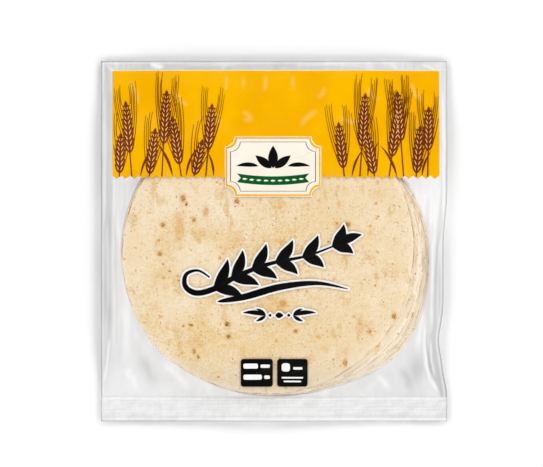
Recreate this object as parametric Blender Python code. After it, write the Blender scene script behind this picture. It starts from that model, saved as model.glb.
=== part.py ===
"""A sealed clear-film pack of round lavash flatbreads, lying on its back, as one closed solid.

The film is drawn over a round stack of thin breads and runs out to a flat rectangular bag.
Seen from above, +X is to the right, +Y is towards the printed end and +Z is up.
The origin is at the middle of the bag's outline, on the surface that the pack rests on.
"""

import math
from typing import NamedTuple

import bmesh
import bpy

MM = 0.001

# The flatbreads
BREAD_RADIUS = 150.0 * MM
BREAD_COUNT = 8
BREAD_THICKNESS = 2.05 * MM
STACK_TOP = BREAD_COUNT * BREAD_THICKNESS
STACK_X = -6.0 * MM
STACK_Y = -7.0 * MM
RIM_DROP = 1.0 * MM
SEAL_PRESS = 3.4 * MM
SEAL_PRESS_REACH = 60.0 * MM
SWELL = 0.35 * MM
SWELL_WAVES = ((1.0, 31.0, 17.0, 0.0), (0.7, -13.0, 23.0, 1.3))

# The bag's outline
BAG_WIDTH = 357.0 * MM
BAG_LENGTH = 371.5 * MM
LEFT_WALL = 12.0 * MM
LEFT_WALL_LEAST = 0.1
LEFT_WALL_RUN = 48.0 * MM
RIGHT_WALL = 8.0 * MM
END_WALL = 10.0 * MM
SEAL_WIDTH = 25.7 * MM
SEAL_THICKNESS = 0.8 * MM

# Heights of the creases above the surface
SIDE_CREASE = 9.5 * MM
CORNER_CREASE = 5.0 * MM
OUTER_CREASE = 4.6 * MM
OUTER_CORNER = 2.2 * MM
SEAL_LOW = 1.8 * MM
SEAL_ARCH = 4.6 * MM
SEAL_ARCH_REACH = 75.0 * MM
SEAL_REACH = 50.0 * MM
CORNER_SHARE = 0.08
PROFILE_RUN = 0.22

# The slack and the soft folds of the film around the stack
SLACK = 0.035
FOLD_HEIGHT = 0.8 * MM
FOLD_SPAN = 60.0 * MM
FOLD_WAVES = ((9, 1.0), (14, 2.2), (22, 0.5))

# The plain material
FILM_OVER_BREAD = (0.86, 0.74, 0.54, 1.0)
FILM_ROUGHNESS = 0.22

# How finely the surface is divided
STEPS_A_SIDE = 32
TOP_SHARES = (0.25, 0.5, 0.72, 0.88, 0.96)
SKIRT_SHARES = (0.25, 0.5, 0.75)

LEFT, RIGHT = -BAG_WIDTH / 2, BAG_WIDTH / 2
LOW, HIGH = -BAG_LENGTH / 2, BAG_LENGTH / 2
SEAL_LINE = LOW + SEAL_WIDTH
END_LINE = HIGH - END_WALL


class Pull(NamedTuple):
    """How a line on the right-hand side is drawn in towards the stack.

    The slow pull grows over a run below its start. The gather is an extra pull about one place.
    """

    slow: float
    start: float
    run: float
    gather: float
    gather_y: float


EDGE_PULL = Pull(3.8 * MM, 55.0 * MM, 60.0 * MM, 4.6 * MM, -102.0 * MM)
CREASE_PULL = Pull(8.0 * MM, 65.0 * MM, 130.0 * MM, 5.0 * MM, -117.0 * MM)
GATHER_REACH = 22.0 * MM
PULL_END_RUN = 30.0 * MM


def clear_scene():
    for obj in list(bpy.data.objects):
        bpy.data.objects.remove(obj)


def ease(share):
    """A smooth step from 0 to 1."""
    share = min(max(share, 0.0), 1.0)
    return share * share * (3 - 2 * share)


def bell(value, middle, reach):
    return math.exp(-(((value - middle) / reach) ** 2))


def blend(a, b, share):
    return tuple(p + (q - p) * share for p, q in zip(a, b))


def drawn_in(pull, y):
    """How far a line on the right is drawn in where the film is gathered above the seal."""
    slow = pull.slow * ease((pull.start - y) / pull.run) * ease((y - SEAL_LINE) / PULL_END_RUN)
    return slow + pull.gather * bell(y, pull.gather_y, GATHER_REACH)


def left_wall(y):
    """Width of the left-hand wall, which runs out to almost nothing at the seal."""
    growth = ease((y - SEAL_LINE) / LEFT_WALL_RUN)
    return LEFT_WALL * (LEFT_WALL_LEAST + (1 - LEFT_WALL_LEAST) * growth)


def seal_height(x):
    """Height of the seal's middle plane: it arches up to meet the stack."""
    return SEAL_LOW + SEAL_ARCH * bell(x, STACK_X, SEAL_ARCH_REACH)


def seal_tail(x):
    """The same at the seal's free edge, which hangs a little lower."""
    return 0.6 * seal_height(x) + 0.4 * SEAL_LOW


def side_profile(share, middle, corner):
    """A crease height that is low at both ends of a side and even between them."""
    return corner + (middle - corner) * ease(min(share, 1 - share) / PROFILE_RUN)


def side_points(side, share):
    """The crease point and the outline point that lie at a share of the way along a side.

    Each is (x, y, height of the upper face, height of the lower face).
    """
    half_seal = SEAL_THICKNESS / 2
    if side in ("seal", "end"):
        along = share if side == "seal" else 1 - share
        outer_x = LEFT + BAG_WIDTH * along
    if side == "seal":
        inner_left, inner_right = LEFT + left_wall(SEAL_LINE), RIGHT - RIGHT_WALL
        inner_x = inner_left + (inner_right - inner_left) * along
        line, tail = seal_height(inner_x), seal_tail(outer_x)
        inner = (inner_x, SEAL_LINE, line + half_seal, line - half_seal)
        return inner, (outer_x, LOW, tail + half_seal, tail - half_seal)
    if side == "end":
        inner_left, inner_right = LEFT + LEFT_WALL, RIGHT - RIGHT_WALL
        inner_x = inner_left + (inner_right - inner_left) * along
        crease = side_profile(along, SIDE_CREASE, CORNER_CREASE)
        outer = side_profile(along, OUTER_CREASE, OUTER_CORNER)
        return (
            (inner_x, END_LINE, crease, 0.0),
            (outer_x, HIGH, outer + half_seal, outer - half_seal),
        )
    up = share if side == "right" else 1 - share
    inner_y = SEAL_LINE + (END_LINE - SEAL_LINE) * up
    outer_y = inner_y - SEAL_WIDTH * (1 - ease(up / CORNER_SHARE))
    outer_y += END_WALL * (1 - ease((1 - up) / CORNER_SHARE))
    above_seal = ease((inner_y - SEAL_LINE) / SEAL_REACH)
    seal_x = RIGHT - RIGHT_WALL if side == "right" else LEFT + left_wall(SEAL_LINE)
    line = seal_height(seal_x)
    crease = side_profile(up, SIDE_CREASE, CORNER_CREASE)
    crease = line + half_seal + (crease - line - half_seal) * above_seal
    under = (line - half_seal) * (1 - above_seal)
    tail = seal_tail(RIGHT)
    outer = tail + (side_profile(up, OUTER_CREASE, OUTER_CORNER) - tail) * above_seal
    if side == "right":
        inner_x = RIGHT - RIGHT_WALL - drawn_in(CREASE_PULL, inner_y)
        outer_x = RIGHT - drawn_in(EDGE_PULL, outer_y)
    else:
        inner_x = LEFT + left_wall(inner_y)
        outer_x = LEFT
    return (
        (inner_x, inner_y, crease, under),
        (outer_x, outer_y, outer + half_seal, outer - half_seal),
    )


def swell(x, y):
    """The slow waves that thin breads keep when they are stacked."""
    return SWELL * sum(
        share * math.sin(across * x + along * y + phase)
        for share, across, along, phase in SWELL_WAVES
    )


def stack_height(x, y):
    """Height of the film that lies on the stack: the seal draws it down where it is near."""
    near_seal = ease((STACK_Y - y) / BREAD_RADIUS) ** 2
    press = SEAL_PRESS * bell(x, STACK_X, SEAL_PRESS_REACH) * near_seal
    return STACK_TOP + swell(x, y) - press


def rim_point(x, y):
    """The point of the stack's rim that faces a point of the bag."""
    angle = math.atan2(y - STACK_Y, x - STACK_X)
    rim_x = STACK_X + BREAD_RADIUS * math.cos(angle)
    rim_y = STACK_Y + BREAD_RADIUS * math.sin(angle)
    return rim_x, rim_y, stack_height(rim_x, rim_y) - RIM_DROP


def skirt_height(rim, crease, share):
    """Height of the film between the rim and the crease, with slack and soft radial folds."""
    span = math.dist(rim[:2], crease[:2])
    angle = math.atan2(crease[1] - STACK_Y, crease[0] - STACK_X)
    wave = sum(math.cos(count * angle + phase) for count, phase in FOLD_WAVES) / len(FOLD_WAVES)
    fold = FOLD_HEIGHT * wave * min(1.0, span / FOLD_SPAN)
    straight = rim[2] + (crease[2] - rim[2]) * share
    belly = 4 * share * (1 - share)
    return straight + (fold - SLACK * span) * belly


def film_rings():
    """The rings of points from the top's centre, out over the rim to the edge and back below."""
    pairs = [
        side_points(side, step / STEPS_A_SIDE)
        for side in ("seal", "right", "end", "left")
        for step in range(STEPS_A_SIDE)
    ]
    creases = [inner for inner, _ in pairs]
    rims = [rim_point(x, y) for x, y, *_ in creases]
    rings = []
    for share in TOP_SHARES:
        ring = [blend((STACK_X, STACK_Y), rim[:2], share) for rim in rims]
        rings.append([(x, y, stack_height(x, y)) for x, y in ring])
    rings.append(rims)
    for share in SKIRT_SHARES:
        rings.append(
            [
                (*blend(rim[:2], crease[:2], share), skirt_height(rim, crease, share))
                for rim, crease in zip(rims, creases)
            ]
        )
    rings.append([crease[:3] for crease in creases])
    rings.append([outer[:3] for _, outer in pairs])
    rings.append([(x, y, low) for _, (x, y, _, low) in pairs])
    rings.append([(x, y, low) for x, y, _, low in creases])
    rings.append([(x, y, 0.0) for x, y, _ in rims])
    return rings


def loft_rings(mesh, rings):
    """Joins each ring to the next with quads, with a fan at the top and one face below."""
    loops = [[mesh.verts.new(point) for point in ring] for ring in rings]
    count = len(loops[0])
    for inner, outer in zip(loops, loops[1:]):
        for i in range(count):
            j = (i + 1) % count
            mesh.faces.new((inner[i], outer[i], outer[j], inner[j]))
    crown = mesh.verts.new((STACK_X, STACK_Y, stack_height(STACK_X, STACK_Y)))
    for i in range(count):
        mesh.faces.new((crown, loops[0][i], loops[0][(i + 1) % count]))
    mesh.faces.new(reversed(loops[-1]))


def film_material():
    material = bpy.data.materials.new("film_over_flatbread")
    material.use_nodes = True
    shader = material.node_tree.nodes["Principled BSDF"]
    shader.inputs["Base Color"].default_value = FILM_OVER_BREAD
    shader.inputs["Roughness"].default_value = FILM_ROUGHNESS
    shader.inputs["Metallic"].default_value = 0.0
    return material


def build_pack(collection):
    """The whole pack: the loft from the round stack to the rectangular bag."""
    mesh = bmesh.new()
    loft_rings(mesh, film_rings())
    bmesh.ops.recalc_face_normals(mesh, faces=mesh.faces)
    data = bpy.data.meshes.new("flatbread_pack")
    mesh.to_mesh(data)
    mesh.free()
    data.shade_smooth()
    data.set_sharp_from_angle(angle=math.radians(35))
    data.materials.append(film_material())
    pack = bpy.data.objects.new("flatbread_pack", data)
    collection.objects.link(pack)
    return pack


def main():
    clear_scene()
    collection = bpy.data.collections.new("lavash_flatbread_pack")
    bpy.context.scene.collection.children.link(collection)
    build_pack(collection)


main()
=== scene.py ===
"""Looks of a sealed clear-film pack of round lavash flatbreads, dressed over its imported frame.

The pack lies on its back. Seen from above, +X is to the right and +Y is towards the printed end.
Lengths are in millimetres, and in metres only where Blender takes or gives them. Heights over the
plan are worked out for whole arrays of points at once.
"""

import logging
import math
from dataclasses import dataclass
from enum import Enum

import bpy
import numpy as np
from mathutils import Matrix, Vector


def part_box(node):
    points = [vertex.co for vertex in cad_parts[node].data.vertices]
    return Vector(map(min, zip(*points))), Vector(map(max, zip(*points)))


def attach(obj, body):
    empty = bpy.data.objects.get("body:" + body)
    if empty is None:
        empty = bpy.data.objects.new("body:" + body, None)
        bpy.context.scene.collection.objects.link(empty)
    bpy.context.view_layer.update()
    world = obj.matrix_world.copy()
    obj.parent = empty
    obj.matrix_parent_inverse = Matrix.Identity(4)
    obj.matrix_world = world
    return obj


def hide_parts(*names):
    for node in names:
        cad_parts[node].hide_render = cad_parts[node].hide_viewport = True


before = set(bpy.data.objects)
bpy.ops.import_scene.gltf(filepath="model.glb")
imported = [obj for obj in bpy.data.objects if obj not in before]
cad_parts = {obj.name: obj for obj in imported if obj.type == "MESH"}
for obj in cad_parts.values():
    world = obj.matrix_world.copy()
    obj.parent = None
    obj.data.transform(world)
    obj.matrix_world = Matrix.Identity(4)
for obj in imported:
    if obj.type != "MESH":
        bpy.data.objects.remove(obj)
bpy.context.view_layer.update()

MM = 0.001
PACK_NODE = "flatbread_pack"
BODY = "root"
BREAD_COUNT = 8

log = logging.getLogger("flatbread_pack")

Array = np.ndarray
Colour = tuple[float, float, float, float]
Line = tuple[Array, Array]
Material = bpy.types.Material
Piece = bpy.types.Object
Point = tuple[float, float]
Socket = bpy.types.NodeSocket
Source = Socket | float | Colour


def srgb(red: int, green: int, blue: int) -> Colour:
    """A linear colour from the 0 to 255 values that a picture shows."""
    def linear(value: int) -> float:
        """One channel on the linear scale."""
        share = value / 255
        return share / 12.92 if share <= 0.04045 else ((share + 0.055) / 1.055) ** 2.4

    return linear(red), linear(green), linear(blue), 1.0


def ease(share: Array | float) -> Array:
    """A smooth step from 0 to 1 over the shares 0 to 1."""
    share = np.clip(share, 0.0, 1.0)
    return share * share * (3 - 2 * share)


def bell(value: Array, middle: float, reach: float) -> Array:
    """A smooth hump of height 1 at the middle."""
    return np.exp(-(((value - middle) / reach) ** 2))


def heading(angle: float) -> Line:
    """The unit vector in a direction given in degrees, and the one to its left."""
    turn = math.radians(angle)
    return np.array([math.cos(turn), math.sin(turn)]), np.array([-math.sin(turn), math.cos(turn)])


def waves(x: Array, y: Array, lengths: tuple[float, ...], seed: int) -> Array:
    """A smooth uneven field of about -1 to 1, from seeded waves that run in all directions.

    Args:
        x, y: places in the plan.
        lengths: the wavelengths, each used in three directions.
        seed: picks the directions and phases.

    Returns:
        The field at each place.
    """
    draw = np.random.default_rng(seed)
    total = np.zeros(np.broadcast(x, y).shape)
    directions = 3
    for length in lengths:
        for _ in range(directions):
            angle, phase = draw.uniform(0, 2 * math.pi, 2)
            along = x * math.cos(angle) + y * math.sin(angle)
            total += np.sin(2 * math.pi * along / length + phase)
    return total / math.sqrt(directions * len(lengths))


def smooth_chain(points: list[Point], steps: int) -> Array:
    """A smooth curve through a few points.

    Args:
        points: the points that the curve passes.
        steps: how many points it has from each one to the next.

    Returns:
        The curve's points, one row each.
    """
    knots = np.array([points[0], *points, points[-1]], float)
    share = np.arange(steps)[:, None] / steps
    runs = []
    for a, b, c, d in zip(knots, knots[1:], knots[2:], knots[3:]):
        bend = 2 * a - 5 * b + 4 * c - d
        twist = 3 * b - a - 3 * c + d
        runs.append(0.5 * (2 * b + (c - a) * share + bend * share**2 + twist * share**3))
    return np.vstack([*runs, knots[-1:]])


# The height, direction and reach of each bulge of a round outline, in millimetres and degrees.
# The lowest bread steps out mostly on the right. Every bread is fuller at the lower left and
# slighter at the upper left.
STEP_OUTS = ((16.0, -34, 24), (13.5, 5, 26), (7.0, -43, 33), (2.2, 156, 18), (1.5, -80, 24))
EDGE_SHIFTS = ((3.2, -143, 22), (-3.4, 150, 20))


def bulged(angle: Array, bulges: tuple[tuple[float, float, float], ...]) -> Array:
    """How far an outline departs from a circle in each direction, given in radians."""
    return sum(height * bell(np.degrees(angle), middle, reach) for height, middle, reach in bulges)


@dataclass(frozen=True)
class Crease:
    """A narrow ridge or valley in the film, along a chain of places in the plan.

    It has a half width, a height and the length of its fading ends. A negative height makes a
    valley.
    """

    points: tuple[Point, ...]
    width: float
    height: float
    fade: float

    def mark(self, x: Array, y: Array) -> Array:
        """The crease's rise at each place, as a share of its height.

        Args:
            x, y: places in the plan.

        Returns:
            The shares.
        """
        chain = np.array(self.points)
        spans = np.linalg.norm(np.diff(chain, axis=0), axis=1)
        starts = np.concatenate([[0.0], np.cumsum(spans)])
        nearest = np.full(x.shape, np.inf)
        along = np.zeros(x.shape)
        for start, end, span, before in zip(chain, chain[1:], spans, starts):
            run = (end - start) / span
            reach = np.clip((x - start[0]) * run[0] + (y - start[1]) * run[1], 0.0, span)
            away = np.hypot(x - start[0] - reach * run[0], y - start[1] - reach * run[1])
            along = np.where(away < nearest, before + reach, along)
            nearest = np.minimum(away, nearest)
        ends = np.minimum(along, starts[-1] - along) / self.fade
        return bell(nearest, 0.0, self.width) * ease(ends)


LEFT_CREASES = (
    Crease(((-165.0, 168), (-164.6, 60), (-165.0, -118)), 1.1, 0.45, 30),
    Crease(((-159.5, 60), (-158.6, -30), (-159.4, -122)), 1.6, 0.40, 40),
    Crease(((-153.0, 40), (-151.5, -60), (-153.5, -135)), 4.5, 0.55, 40),
    Crease(((-172.0, 30), (-171.2, -60), (-174.0, -128)), 1.6, 0.24, 30),
    Crease(((-174.6, 160), (-173.8, 70), (-174.5, 10)), 1.3, 0.40, 20),
    Crease(((-168.8, -96), (-172.2, -128), (-176.8, -150)), 1.4, 0.60, 12),
    Crease(((-140.0, -112), (-128.0, -138), (-121.0, -155)), 6.0, -0.70, 18),
    Crease(((-156.0, -128), (-146.0, -143), (-140.0, -158)), 3.0, 0.50, 12),
    Crease(((-118.0, -118), (-96.0, -140), (-84.0, -157)), 4.0, 0.45, 16),
)

RIGHT_CREASES = (
    Crease(((163.0, 12), (162.4, -40), (161.6, -97)), 1.5, 0.75, 20),
    Crease(((154.2, -78), (153.8, -104), (156.4, -128), (160.7, -143.6), (169.6, -157.8)), 1.5, 1.20, 12),
    Crease(((157.0, -90), (156.6, -106), (159.2, -128), (163.6, -143)), 1.1, -0.45, 10),
    Crease(((147.0, -112), (147.4, -134), (146.0, -154)), 7.0, -0.55, 20),
    Crease(((160.6, -97), (162.0, -122), (166.6, -143)), 1.2, 0.45, 12),
    Crease(((169.8, 8), (168.8, -40), (167.8, -92)), 1.2, 0.30, 16),
    Crease(((158.0, 52), (157.4, 24), (158.4, 2)), 1.8, -0.45, 14),
    Crease(((165.2, 46), (164.8, 14), (163.6, -12)), 1.3, 0.50, 14),
    Crease(((161.2, 58), (160.8, 30), (161.4, 12)), 1.1, 0.35, 10),
    Crease(((152.0, -62), (150.5, -90), (146.0, -118)), 3.0, 0.60, 18),
    Crease(((128.0, -126), (138.0, -142), (141.0, -158)), 4.5, -0.80, 14),
    Crease(((104.0, -134), (114.0, -146), (120.0, -158)), 3.5, 0.55, 12),
    Crease(((173.4, 160), (174.6, 90), (173.6, 20)), 1.2, 0.35, 20),
)

END_CREASES = (
    Crease(((-128.0, 183), (-121.0, 179.5), (-113.0, 179)), 2.0, 0.80, 4),
    Crease(((-98.0, 181), (-70.0, 180.4), (-36.0, 181)), 1.2, 0.22, 12),
    Crease(((20.0, 180.5), (60.0, 181.6), (96.0, 180)), 1.3, 0.25, 12),
    Crease(((-60.0, 184), (-54.0, 180), (-50.0, 176)), 1.5, 0.25, 3),
    Crease(((118.0, 184), (124.0, 180), (127.0, 176)), 1.5, 0.30, 3),
    Crease(((150.0, 183), (160.0, 179), (168.0, 174)), 1.6, 0.45, 5),
    Crease(((-174.0, 183), (-168.0, 177.5), (-160.0, 171)), 1.6, 0.35, 5),
)

FILM_CREASES = LEFT_CREASES + RIGHT_CREASES + END_CREASES

BAND_CREASES = (
    Crease(((-49.5, 171), (-49.0, 163), (-49.8, 153)), 1.5, 0.30, 6),
    Crease(((-31.8, 171), (-31.4, 164), (-32.0, 155)), 1.4, 0.28, 6),
    Crease(((-9.2, 172), (-8.8, 163), (-9.6, 152)), 1.7, 0.34, 6),
    Crease(((19.6, 171), (19.0, 163), (20.2, 154)), 1.6, 0.30, 6),
    Crease(((-35.0, 134), (-28.0, 130.5), (-20.6, 121.8)), 2.4, 0.55, 7),
    Crease(((-34.0, 126), (-26.0, 124), (-19.0, 124)), 1.6, 0.35, 6),
    Crease(((25.6, 116.8), (34.0, 127), (45.2, 135.4)), 2.3, 0.50, 8),
    Crease(((52.0, 160), (50.0, 152), (44.0, 146)), 1.8, 0.30, 6),
    Crease(((-104.0, 156), (-96.0, 144), (-86.0, 138)), 2.0, 0.38, 8),
    Crease(((-72.0, 128), (-64.0, 124), (-52.0, 123)), 2.0, 0.30, 8),
    Crease(((66.0, 128), (78.0, 122), (90.0, 122)), 2.0, 0.32, 8),
    Crease(((96.0, 160), (100.0, 150), (108.0, 143)), 2.0, 0.36, 8),
    Crease(((140.0, 165), (146.0, 150), (156.0, 142)), 2.2, 0.50, 8),
    Crease(((-150.0, 166), (-142.0, 152), (-140.0, 138)), 2.2, 0.50, 8),
)


def band_crease_highlight(x: Array, y: Array) -> Array:
    """How strongly the printed band is painted paler along its creases, as a painted highlight, at each
    place, up to 1.
    """
    found = np.maximum.reduce([crease.mark(x, y) for crease in BAND_CREASES])
    return np.clip(found + 0.05 * waves(x, 1.7 * y, (55, 90), 33), 0, 1)


@dataclass(frozen=True)
class Pull:
    """How a line on the right is drawn in: slowly above the seal, and by a gather about a place."""

    slow: float
    start: float
    run: float
    gather: float
    gather_y: float

    def at(self, y: Array) -> Array:
        """The slow pull along the bag, before it ends at the seal."""
        return self.slow * ease((self.start - y) / self.run)


@dataclass(frozen=True)
class BagForm:
    """The bag's outline, crease lines and heights, worked out from the frame's box.

    Sizes that aren't in the box are the ones that the solid was made with, apart from the soft
    start of the film's slope at the rim and the ribs of the seal, which the solid hasn't got.
    """

    left: float
    right: float
    low: float
    high: float
    stack_x: float = -6.0
    stack_y: float = -7.0
    bread_radius: float = 150.0
    stack_top: float = 16.4
    rim_drop: float = 1.0
    press: float = 3.4
    press_reach: float = 60.0
    swell: float = 0.35
    left_wall: float = 12.0
    right_wall: float = 8.0
    end_wall: float = 10.0
    edge_pull: Pull = Pull(3.8, 55.0, 60.0, 4.6, -102.0)
    crease_pull: Pull = Pull(8.0, 65.0, 130.0, 5.0, -117.0)
    gather_reach: float = 22.0
    pull_end_run: float = 30.0
    wall_least: float = 0.1
    wall_run: float = 48.0
    seal_width: float = 25.7
    seal_thickness: float = 0.8
    side_crease: float = 9.5
    corner_crease: float = 5.0
    outer_crease: float = 4.6
    outer_corner: float = 2.2
    profile_run: float = 0.22
    seal_low: float = 1.8
    seal_arch: float = 4.6
    seal_arch_reach: float = 75.0
    seal_reach: float = 50.0
    slack: float = 0.035
    soft_start: float = 0.10
    rib_height: float = 0.11
    rib_pitch: float = 2.3
    rib_run: float = 20.5

    @property
    def seal_line(self) -> float:
        """Where the heat seal begins."""
        return self.low + self.seal_width

    @property
    def end_line(self) -> float:
        """The crease between the front panel and the end wall."""
        return self.high - self.end_wall

    def above_seal(self, y: Array, run: float) -> Array:
        """A smooth step that grows over a run above the seal."""
        return ease((y - self.seal_line) / run)

    def drawn_in(self, pull: Pull, y: Array) -> Array:
        """How far a line on the right is drawn in along the bag."""
        slow = pull.at(y) * self.above_seal(y, self.pull_end_run)
        return slow + pull.gather * bell(y, pull.gather_y, self.gather_reach)

    def right_edge(self, y: Array) -> Array:
        """The outline's right-hand edge, drawn in above the seal."""
        return self.right - self.drawn_in(self.edge_pull, y)

    def right_crease(self, y: Array) -> Array:
        """The crease between the front panel and the right-hand wall."""
        return self.right - self.right_wall - self.drawn_in(self.crease_pull, y)

    def left_crease(self, y: Array) -> Array:
        """The crease beside the left-hand wall, which runs out to the edge at the seal."""
        growth = self.wall_least + (1 - self.wall_least) * self.above_seal(y, self.wall_run)
        return self.left + self.left_wall * growth

    def seal_height(self, x: Array) -> Array:
        """Height of the seal's middle plane: it arches up to meet the stack."""
        return self.seal_low + self.seal_arch * bell(x, self.stack_x, self.seal_arch_reach)

    def rim_distance(self, x: Array, y: Array) -> Array:
        """How far each place lies outside the stack's rim, negative inside it."""
        return np.hypot(x - self.stack_x, y - self.stack_y) - self.bread_radius

    def stack_height(self, x: Array, y: Array) -> Array:
        """Height of the film over the stack, which the seal draws down where it is near.

        Args:
            x, y: places in the plan; those outside the rim take the rim's height.

        Returns:
            The heights.
        """
        away = np.maximum(1.0, 1 + self.rim_distance(x, y) / self.bread_radius)
        x = self.stack_x + (x - self.stack_x) / away
        y = self.stack_y + (y - self.stack_y) / away
        near_seal = ease((self.stack_y - y) / self.bread_radius) ** 2
        press = self.press * bell(x, self.stack_x, self.press_reach) * near_seal
        swell = np.sin(0.031 * x + 0.017 * y) + 0.7 * np.sin(0.023 * y - 0.013 * x + 1.3)
        return self.stack_top + self.swell * swell - press

    def heights(self, x: Array, y: Array) -> Line:
        """The film's upper and lower surface, before any creases.

        Args:
            x, y: places in the plan.

        Returns:
            The heights of the two surfaces.
        """
        tiny = 0.01
        outside = self.rim_distance(x, y)
        gaps = np.stack([x - self.left_crease(y), self.right_crease(y) - x,
                         self.end_line - y, y - self.seal_line])
        inward = np.maximum(gaps.min(0), 0)
        weights = 1 / np.maximum(gaps, tiny) ** 2
        weights /= weights.sum(0)
        along = np.clip(gaps[3] / (self.end_line - self.seal_line), 0, 1)
        across = np.clip((x - self.left) / (self.right - self.left), 0, 1)
        side_share = ease(np.minimum(along, 1 - along) / self.profile_run)
        end_share = ease(np.minimum(across, 1 - across) / self.profile_run)
        half = self.seal_thickness / 2
        above = self.above_seal(y, self.seal_reach)
        line = self.seal_height(x)
        rise = self.side_crease - self.corner_crease
        side = line + half + (self.corner_crease + rise * side_share - line - half) * above
        end = self.corner_crease + rise * end_share
        under = (line - half) * (1 - above)
        crease_up = (weights * np.stack([side, side, end, line + half])).sum(0)
        crease_down = (weights * np.stack([under, under, 0 * under, line - half])).sum(0)
        share = np.clip(outside / (outside + inward + tiny), 0, 1)
        share = (1 + self.soft_start) * share**2 / (share + self.soft_start)
        drop = self.rim_drop * ease(1 + outside / (0.04 * self.bread_radius))
        rim = self.stack_height(x, y) - drop
        belly = self.slack * (np.maximum(outside, 0) + inward) * 4 * share * (1 - share)
        top = np.where(outside > 0, rim + (crease_up - rim) * share - belly, rim)
        base = np.where(outside > 0, crease_down * share, 0.0)
        walls = np.clip(np.maximum.reduce([
            -gaps[0] / np.maximum(self.left_crease(y) - self.left, tiny),
            -gaps[1] / np.maximum(self.right_edge(y) - self.right_crease(y), tiny),
            -gaps[2] / self.end_wall,
        ]), 0, 1)
        outer_rise = self.outer_crease - self.outer_corner
        outer = self.outer_corner + outer_rise * side_share
        at_end = np.minimum(self.outer_corner + outer_rise * end_share, outer + 2)
        outer = np.where(gaps[2] < 0, at_end, outer)
        # The seal's free edge hangs a little lower than the line where the seal begins.
        tail = 0.6 * line + 0.4 * self.seal_low
        outer = tail + (outer - tail) * above
        top += (outer + half - top) * walls
        base += (outer - half - base) * walls
        sealed = line + (tail - line) * np.clip(-gaps[3] / self.seal_width, 0, 1)
        in_seal = gaps[3] < 0
        return np.where(in_seal, sealed + half, top), np.where(in_seal, sealed - half, base)

    def top(self, x: Array, y: Array) -> Array:
        """Height of the film's upper surface with its creases, streaks and crimped seal.

        Args:
            x, y: places in the plan.

        Returns:
            The heights.
        """
        top, base = self.heights(x, y)
        for crease in FILM_CREASES + BAND_CREASES:
            top = top + crease.height * crease.mark(x, y)
        loose = ease(self.rim_distance(x, y) / 12) * self.above_seal(y, 8)
        ripple = 0.10 * waves(x, y, (22, 35), 4) + 0.04 * self.streaks(x, y)
        return np.maximum(top + loose * ripple + self.crimp(x, y), base + 0.25)

    def painted_crease_shading(self, x: Array, y: Array) -> Line:
        """How strongly the film is painted lighter on ridges and darker in valleys, at each place.

        Args:
            x, y: places in the plan.

        Returns:
            The shares of the ridges and of the valleys, up to 1 in their middles.
        """
        ridge, valley = np.zeros(x.shape), np.zeros(x.shape)
        for crease in FILM_CREASES:
            marked = valley if crease.height < 0 else ridge
            strength = min(1.0, 1.6 * abs(crease.height))
            np.maximum(marked, strength * crease.mark(x, y), out=marked)
        return ridge, valley

    def streaks(self, x: Array, y: Array) -> Array:
        """Long fine streaks of about -1 to 1 that run along the bag beside its side walls."""
        beside = ease((np.abs(x) - 118) / 16) * ease((y + 110) / 50)
        return beside * waves(x, 0.05 * y, (4.3, 6.7, 11), 41)

    def crimp(self, x: Array, y: Array) -> Array:
        """Relief that the sealing jaws leave: ribs along the seal, over a plain tail.

        Args:
            x, y: places in the plan.

        Returns:
            The rise of the ribs.
        """
        into = self.seal_line - y
        ribs = self.rib_height * ease(into) * ease(self.rib_run - into)
        ribs = ribs * np.sin(2 * math.pi * into / self.rib_pitch)
        ripple = 0.25 * ease(into / 5) * waves(x, 0 * y, (60, 31), 9)
        return ribs + 0.22 * bell(into, 2.2, 0.8) + ripple

    def bottom(self, x: Array, y: Array) -> Array:
        """Height of the film's lower surface.

        Args:
            x, y: places in the plan.

        Returns:
            The heights, never below the surface that the pack rests on.
        """
        top, base = self.heights(x, y)
        loose = ease((self.rim_distance(x, y) - 4) / 14)
        wrinkled = base + 0.22 * loose * (1 + waves(x, y, (13, 21, 34), 11))
        crimped = base + self.crimp(x, y)
        base = np.where(y < self.seal_line, crimped, np.maximum(wrinkled, 0.0))
        return np.minimum(base, top - 0.2)


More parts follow.
